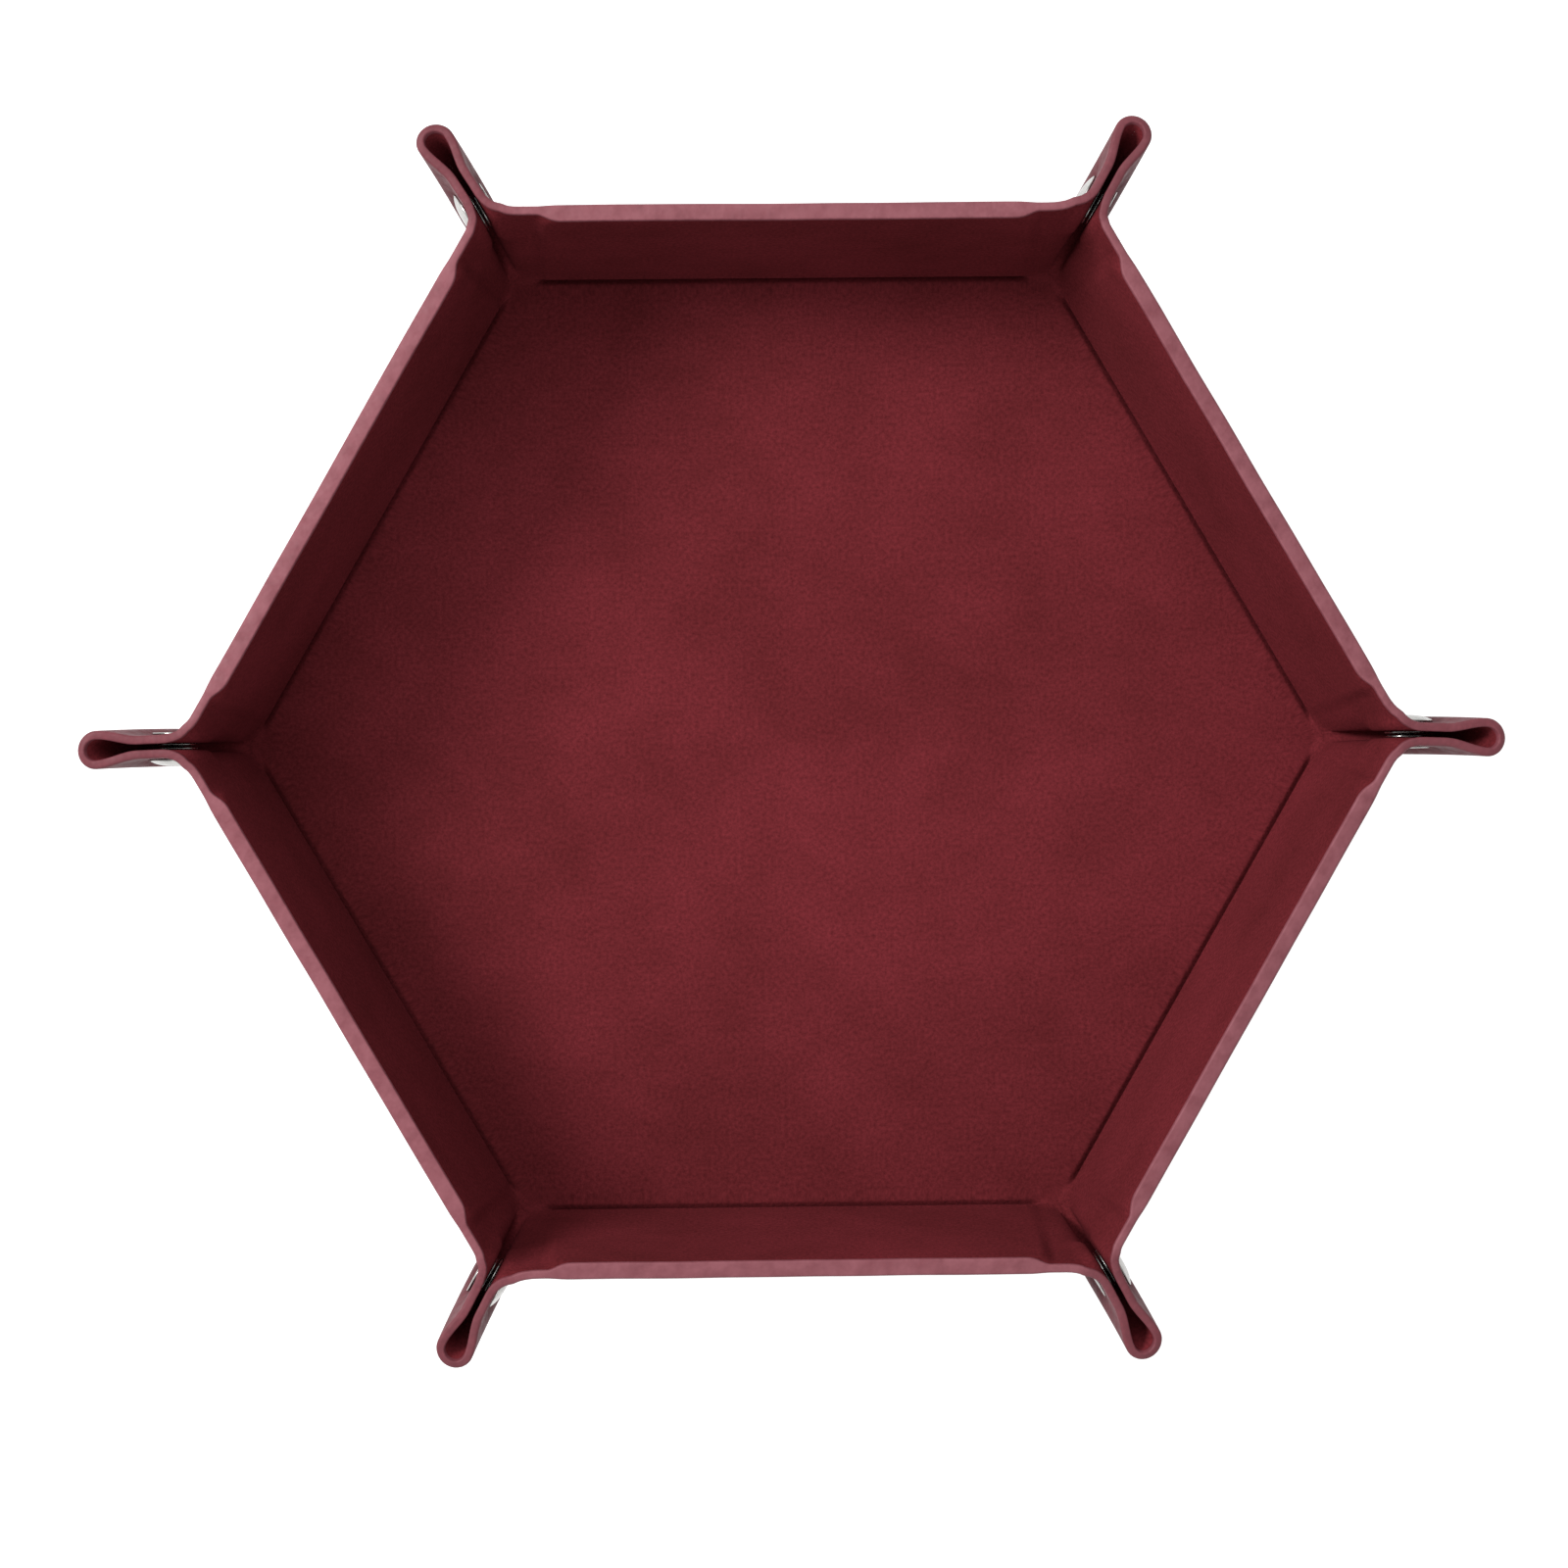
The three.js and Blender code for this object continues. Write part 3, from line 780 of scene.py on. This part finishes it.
@lru_cache(maxsize=None)
def ear_row(half, height):
    """The lining's face at one height, from the seam on the wall round to the ear's tip."""
    rise = height / math.cos(MITRE)
    hinge = half.foot + half.up * rise
    hinge_x = ROOT_FOOT + height * math.tan(MITRE)
    out = half.reach + math.tan(MITRE) * half.up
    back_along = -half.side * half.wall.along
    seam_run = hinge_x - WALL_END
    seam = hinge + back_along * seam_run

    tuck = 1 - float(smooth(FOLD, LOW_ROW, height))
    tip = (TIP_START[0] + (rise - TIP_START[1]) * TIP_SLOPE) / (1 - math.tan(MITRE) * TIP_SLOPE)
    tip -= FOOT_EASE * tuck
    radius = EAR_GAP + (BULB_RADIUS - EAR_GAP) * smooth(0.0, BULB_FULL, height)
    middle = tip - (radius + GUSSET_BACK / 2) * math.pi / 2
    flare = min(SNAP_REACH - SNAP_MARGIN, FLARE_SHARE * middle)
    back_run, out_run = root_runs(half, height, seam_run, flare)

    before = hinge + back_along * back_run
    after = hinge + out * out_run
    points = [seam + (before - seam) * i / WALL_STEPS for i in range(WALL_STEPS)]
    for i in range(ROOT_STEPS):
        t = i / ROOT_STEPS
        points.append((1 - t) ** 2 * before + 2 * t * (1 - t) * hinge + t * t * after)
    for i in range(NECK_STEPS):
        points.append(hinge + out * (out_run + (flare - out_run) * i / NECK_STEPS))
    row = np.array(points + teardrop(half, hinge, out, flare, middle, radius))
    if tuck > 0:
        row = tucked(row, half, tuck, -back_along * TUCK_HANDLE * seam_run)

    row = row + set_back(row, half, hinge, height)
    beyond = np.clip((row - half.foot) @ half.radial - (hinge - half.foot) @ half.radial, 0.0, None)
    bow = EAR_BOW[half.ear] * (beyond / BOW_LENGTH) ** 2 * height / RIM
    return row + np.outer(bow, half.sideways)


def row_normals(half, height):
    """The lining's inward direction along a row."""
    row = ear_row(half, height)
    nudge = 0.15
    low = max(FOLD, height - nudge)
    up = (ear_row(half, height + nudge) - ear_row(half, low)) / (height + nudge - low)
    along = np.gradient(row, axis=0)
    normals = unit(half.side * np.cross(along, up))
    normals[0] = half.wall.inner
    mid_plane = half.sideways
    normals[-1] = unit(normals[-1] - mid_plane * np.dot(normals[-1], mid_plane))
    return normals


def flat_row(half, height):
    """How far from the middle of the wall each point of a row lies in the flat sheet."""
    lengths = lengths_along(ear_row(half, height))
    middle_line = CORNER + height * math.tan(HALF_CORNER)
    return WALL_END + lengths / lengths[-1] * (middle_line - WALL_END)


def ear_sheet(half, name, front, back, material, painted_highlight):
    """Sweeps a profile round from the seam on the wall to the tip of the ear."""
    faces, flats = [], []
    for profile, runs in ((front, [h for _, h in front]), (back, run_lengths(back))):
        columns = []
        flat_columns = []
        for (depth, height), run in zip(profile, runs):
            columns.append(ear_row(half, height) - depth * row_normals(half, height))
            spots = flat_row(half, height)
            flat_columns.append([half.wall.flat(half.side * x, run) for x in spots])
        faces.append(np.array(columns).transpose(1, 0, 2))
        flats.append(np.array(flat_columns).transpose(1, 0, 2))
    if not painted_highlight:
        return sheet_piece(name, *faces, *flats, material)
    # The ear's cover gets a painted highlight on its rim, full at the seam and weaker past the root.
    along = np.arange(faces[0].shape[0])
    highlit = 1 - (1 - EAR_RIM_HIGHLIGHT) * smooth(WALL_STEPS, WALL_STEPS + ROOT_STEPS, along)
    return sheet_piece(name, *faces, *flats, material, np.outer(highlit, painted_rim_highlight(back)))


def build_ear_half(half):
    name = f"ear_{half.ear}_{half.kind}"
    lining = ear_sheet(half, name + "_velvet", *lining_profile(lambda height: 0.0), VELVET, False)
    profile = cover_profile(lambda height: GUSSET_BACK, lambda height: 0.0)
    cover = ear_sheet(half, name + "_cover", *profile, COVER, True)
    for piece, slot in ((lining, "lining"), (cover, "ear_sheet")):
        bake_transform(piece)
    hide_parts(f"{name}_half")
    return lining


# Folds between the floor and a wall.

GROOVE = 1.25  # the lining dips this far into the fold
CORNER_FILLET = 0.5  # and rounds the corner this far near a crease's ends
OUTER_GROOVE = 2.7  # the cover's back dips this far
GROOVE_END = 44.0  # middle of a crease to where its groove starts to fade
GROOVE_FADE = 4.2
# From a crease to the sheet's first bend: on the lining's face and back in the groove, what the
# fillet adds to each, and on the cover's face and back.
GROOVE_EDGE, GROOVE_BACK_EDGE = 0.85, 1.4
FILLET_MORE, FILLET_BACK_MORE = 0.5, 0.1
COVER_EDGE, COVER_BACK_EDGE = 2.1, 2.2
EDGE_HANDLE = 0.55  # how far a bend's curve still follows the sheet, as a share of that
DIP_HANDLE, DIP_HANDLE_MORE = 0.2, 0.22  # how wide its bottom is, and what each mm of dip adds
CURVE_STEPS, LEAD_STEPS = 7, 3


def end_stations(wall, side):
    """A fold's stations along the foot of an ear, from the seam to the corner of the floor."""
    half = HALF_AT[wall.number, side]
    row = ear_row(half, FOLD)
    normals = row_normals(half, FOLD)
    spots = flat_row(half, FOLD)
    part = (spots - WALL_END) / (spots[-1] - WALL_END)
    floor_end = (CREASE - FOLD) * math.tan(HALF_CORNER)
    stations = []
    for i in range(len(row)):
        crease_x = side * (WALL_END + part[i] * (CORNER - WALL_END))
        floor_x = side * (WALL_END + part[i] * (floor_end - WALL_END))
        crease = wall.origin + wall.along * crease_x
        floor = wall.origin - wall.out * FOLD + wall.along * floor_x
        stations.append((crease, floor, row[i], normals[i], side * spots[i], GUSSET_BACK))
    return stations


def fold_stations(wall):
    """Places along a fold, each with its points on the crease, the floor's edge and the wall's edge,
    the wall's inward direction, its x in the flat sheet and the depth of the cover's back.
    """
    middle = []
    for x in wall_stations()[1:-1]:
        crease = wall.origin + wall.along * x
        set_in = lining_depth(x, FOLD)
        wall_edge = crease + wall.up * FOLD - wall.inner * set_in
        depth = cover_depth(x, FOLD) - set_in
        middle.append((crease, crease - wall.out * FOLD, wall_edge, wall.inner, x, depth))
    return end_stations(wall, -1)[::-1] + middle + end_stations(wall, 1)


def fold_curve(start, start_handle, middle, tangent, handle, end_handle, end, lead, tail):
    """A smooth run from start, down to the middle of the fold and up to end."""
    t = (np.arange(CURVE_STEPS) / CURVE_STEPS)[:, None]
    first = cubic(start, start_handle, middle - tangent * handle, middle, t)
    second = cubic(middle, middle + tangent * handle, end_handle, end, t)
    before = [lead + (start - lead) * i / LEAD_STEPS for i in range(LEAD_STEPS)]
    after = [end + (tail - end) * i / LEAD_STEPS for i in range(LEAD_STEPS + 1)]
    return np.array([*before, *first, *second, *after])


def fold_section(station, back_floor, back_wall, dip, edge):
    """One line across the fold, at a depth below the floor's face and behind the wall's."""
    crease, floor, wall_edge, inward = station[:4]
    to_floor = unit(floor - crease)
    to_wall = unit(wall_edge - crease)
    inside = unit(to_floor + to_wall)
    tangent = unit(to_wall - to_floor)
    floor_back = UP * back_floor
    wall_back = inward * back_wall
    start = crease + to_floor * edge - floor_back
    end = crease + to_wall * edge - wall_back
    middle = crease - inside * dip
    start_handle = start - to_floor * edge * EDGE_HANDLE
    end_handle = end - to_wall * edge * EDGE_HANDLE
    handle = DIP_HANDLE + DIP_HANDLE_MORE * abs(dip)
    lead = floor - floor_back
    tail = wall_edge - wall_back
    return fold_curve(start, start_handle, middle, tangent, handle, end_handle, end, lead, tail)


def fold_piece(wall, name, stations, front, back, material):
    front = np.array(front)
    back = np.array(back)
    heights = np.linspace(-FOLD, FOLD, front.shape[1])
    flat = np.array([[wall.flat(station[4], height) for height in heights] for station in stations])
    painted_highlight = np.zeros(back.shape[:2]) if material == COVER else None
    return sheet_piece(name, front, back, flat, flat, material, painted_highlight)


def build_fold(wall):
    stations = fold_stations(wall)
    lining_front, lining_back, cover_front, cover_back = [], [], [], []
    for station in stations:
        fade = float(smooth(GROOVE_END, GROOVE_END + GROOVE_FADE, abs(station[4])))
        dip = GROOVE - (GROOVE + CORNER_FILLET) * fade
        edge = GROOVE_EDGE + FILLET_MORE * fade
        back_edge = GROOVE_BACK_EDGE + FILLET_BACK_MORE * fade
        depth = station[5]
        inside = FLOOR_TOP - LEATHER
        inside_dip = OUTER_GROOVE - LEATHER
        lining_front.append(fold_section(station, 0.0, 0.0, dip, edge))
        lining_back.append(fold_section(station, LINING, LINING, dip + LINING, back_edge))
        cover_front.append(fold_section(station, inside, depth - LEATHER, inside_dip, COVER_EDGE))
        cover_back.append(fold_section(station, FLOOR_TOP, depth, OUTER_GROOVE, COVER_BACK_EDGE))
    name = f"crease_{wall.number}"
    lining = fold_piece(wall, name + "_velvet", stations, lining_front, lining_back, VELVET)
    cover = fold_piece(wall, name + "_cover", stations, cover_front, cover_back, COVER)
    for piece, slot in ((lining, "lining"), (cover, "leather")):
        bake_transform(piece)
    return lining


# Press studs.

SNAP_SEGMENTS = 72
SEAT = -GUSSET_BACK - 0.05  # where a cap and an eyelet rest on the leather


def arc(centre_r, centre_h, radius, start, stop, count):
    """Points of an arc in a turned outline, angles in degrees from the axis' outward direction."""
    angles = np.radians(np.linspace(start, stop, count))
    return [(centre_r + radius * math.cos(a), centre_h + radius * math.sin(a)) for a in angles]


def turned(name, node, half, outline):
    """Turns an outline of (radius, height) round the axis of a CAD node, and replaces the node."""
    centre = disc(node, half)[0]
    vertices, faces, rings = [], [], []
    for radius, height in outline:
        if radius < 1e-6:
            rings.append([len(vertices)])
            vertices.append(centre + half.across * height)
            continue
        ring = []
        for k in range(SNAP_SEGMENTS):
            angle = 2 * math.pi * k / SNAP_SEGMENTS
            ring.append(len(vertices))
            turn = math.cos(angle) * half.reach + math.sin(angle) * half.up
            vertices.append(centre + turn * radius + half.across * height)
        rings.append(ring)
    following_rings = rings[1:] + rings[:1] if len(rings[0]) > 1 else rings[1:]
    for ring, following in zip(rings, following_rings):
        for k in range(SNAP_SEGMENTS):
            n = (k + 1) % SNAP_SEGMENTS
            corners = [ring[k % len(ring)], ring[n % len(ring)],
                       following[n % len(following)], following[k % len(following)]]
            faces.append(tuple(dict.fromkeys(corners)))
    piece = finish_mesh(name, vertices, faces, NICKEL, sharp=50)
    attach(piece, half.body)
    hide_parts(node)


def build_cap(half):
    """A domed cap with a rolled edge, on the outside of the ear."""
    node = f"snap_{half.ear}_cap"
    _, radius, low, high = disc(node, half)
    roll = 0.28
    post = 1.6
    top = low + 0.02
    dome = []
    for part in np.linspace(0, 1, 15):
        dome.append(((radius - roll) * part, top + (SEAT - top - 2 * roll) * part ** 2.6))
    edge = arc(radius - roll, SEAT - roll, roll, -80, 80, 9)
    turned(f"stud_{half.ear}_cap", node, half, [
        *dome, *edge, (radius - 0.9, SEAT), (post, SEAT), (post, high - 0.05), (0, high - 0.05),
    ])


def build_socket(half):
    """A cup in the ear with a rolled lip and the ring of its spring on the inside."""
    node = f"snap_{half.ear}_socket"
    _, radius, low, high = disc(node, half)
    lip = high - 0.02
    roll = (lip - 0.05) / 2
    cup = 2.5
    bore = 2.05
    turned(f"stud_{half.ear}_socket", node, half, [
        (0, low), (cup - 0.2, low), (cup, low + 0.2), (cup, 0.04),
        *arc(radius - roll, 0.04 + roll, roll, -90, 90, 9),
        *arc(radius - 1.15, lip - 0.12, 0.12, 90, 0, 3)[::-1],
        *arc(bore + 0.25, lip - 0.25, 0.25, 90, 180, 5),
        (bore, low + 0.5), (bore - 0.3, low + 0.32), (0, low + 0.32),
    ])


def build_stud(half):
    """The ball of the press stud on its flange."""
    node = f"snap_{half.ear}_stud"
    _, radius, low, high = disc(node, half)
    neck = 1.45
    ball = 1.78
    top = 0.48
    roll = (top - 0.06) / 2
    turned(f"stud_{half.ear}_ball", node, half, [
        (0, low), (neck, low), (neck, 0.06),
        *arc(radius - roll, 0.06 + roll, roll, -90, 90, 9),
        (neck + 0.5, top), (neck + 0.08, top + 0.1), (neck, top + 0.3),
        *arc(ball - 0.32, high - 0.45, 0.32, -35, 70, 8),
        (0.8, high - 0.02), (0, high),
    ])


def build_eyelet(half):
    """The rolled rivet ring that holds the ball, on the outside of the ear."""
    node = f"snap_{half.ear}_eyelet"
    _, radius, low, high = disc(node, half)
    bore = 1.72
    roll = (SEAT - low) / 2
    turned(f"stud_{half.ear}_eyelet", node, half, [
        *arc(radius - roll, SEAT - roll, roll, 80, -90, 9),
        *arc(bore + 0.5, low + 0.5, 0.5, -90, -180, 7),
        (bore, high), (bore + 0.45, high), (bore + 0.45, SEAT),
    ])


# Lights, floor and camera.

LIGHTS = {  # azimuth, elevation, size in millimetres and power
    "key": (156, 43, 500, 22.5),
    "side": (100, 60, 900, 7.5),
    "front": (270, 40, 900, 4.5),
}
LIGHT_DISTANCE = 1500
ROOM_LIGHT = 0.62
PAPER_GLOW = 0.85
CAMERA_PLACE = (-25.2, -11.4, 1080.0)
CAMERA_ROLL, CAMERA_TILT, CAMERA_TURN = 0.0102, -0.0033, 0.0226  # about its Z, X and Y
LENS, SENSOR = 130.9, 36.0


def add_area(name, place_mm, size_mm, power):
    light = bpy.data.lights.new(name, "AREA")
    light.shape = "DISK"
    light.size = size_mm * MM
    light.energy = power
    lamp = bpy.data.objects.new(name, light)
    bpy.context.scene.collection.objects.link(lamp)
    lamp.location = Vector(place_mm) * MM
    lamp.rotation_euler = (-lamp.location).to_track_quat("-Z", "Y").to_euler()


def from_direction(azimuth, elevation, distance):
    a, e = math.radians(azimuth), math.radians(elevation)
    return (
        distance * math.cos(a) * math.cos(e),
        distance * math.sin(a) * math.cos(e),
        distance * math.sin(e),
    )


def build_studio():
    scene = bpy.context.scene
    scene.view_settings.view_transform = "Standard"
    world = bpy.data.worlds.new("studio")
    world.use_nodes = True
    background = world.node_tree.nodes["Background"]
    background.inputs["Color"].default_value = (1, 1, 1, 1)
    background.inputs["Strength"].default_value = ROOM_LIGHT
    scene.world = world
    for name, (azimuth, elevation, size, power) in LIGHTS.items():
        add_area(name, from_direction(azimuth, elevation, LIGHT_DISTANCE), size, power)

    paper = Nodes("paper")
    grain = paper.spread(paper.noise(paper.object_place(), 0.004, 3.0), 0.3, 0.7)
    paper.set(
        Base_Color=paper.mix(grain, (0.34, 0.34, 0.34), (0.38, 0.38, 0.38)),
        Roughness=0.9,
        Specular_IOR_Level=0.1,
        Emission_Color=(1.0, 1.0, 1.0),
        Emission_Strength=PAPER_GLOW,
    )
    bpy.ops.mesh.primitive_plane_add(size=6, location=(0, 0, -0.4 * MM))
    ground = bpy.context.object
    ground.name = "studio_floor"
    ground.data.materials.append(paper.material)


def build_camera():
    """Almost straight above the tray, a little to the left, with a long lens."""
    camera = bpy.data.objects.new("camera", bpy.data.cameras.new("camera"))
    bpy.context.scene.collection.objects.link(camera)
    roll = Matrix.Rotation(CAMERA_ROLL, 3, "Z")
    tilt = Matrix.Rotation(CAMERA_TILT, 3, "X")
    turn = Matrix.Rotation(CAMERA_TURN, 3, "Y")
    facing = (roll @ tilt @ turn).transposed().to_4x4()
    camera.matrix_world = Matrix.Translation(Vector(CAMERA_PLACE) * MM) @ facing
    camera.data.lens = LENS
    camera.data.sensor_width = SENSOR
    camera.data.clip_start = 0.01
    bpy.context.scene.camera = camera


def paint_boards():
    """The boards are the CAD solids themselves."""
    for name, node in frame["nodes"].items():
        if name.endswith("_board"):
            node.data.materials.clear()
            node.data.materials.append(BOARD)


build_camera()
build_studio()
paint_boards()
floor_lining = build_floor()
wall_linings = {number: build_wall(wall) for number, wall in WALLS.items()}
ear_linings = [(half, build_ear_half(half)) for half in HALVES]
fold_linings = [build_fold(wall) for wall in WALLS.values()]
for ear_half in HALVES:
    if ear_half.kind == "socket":
        build_cap(ear_half)
        build_socket(ear_half)
    else:
        build_stud(ear_half)
        build_eyelet(ear_half)
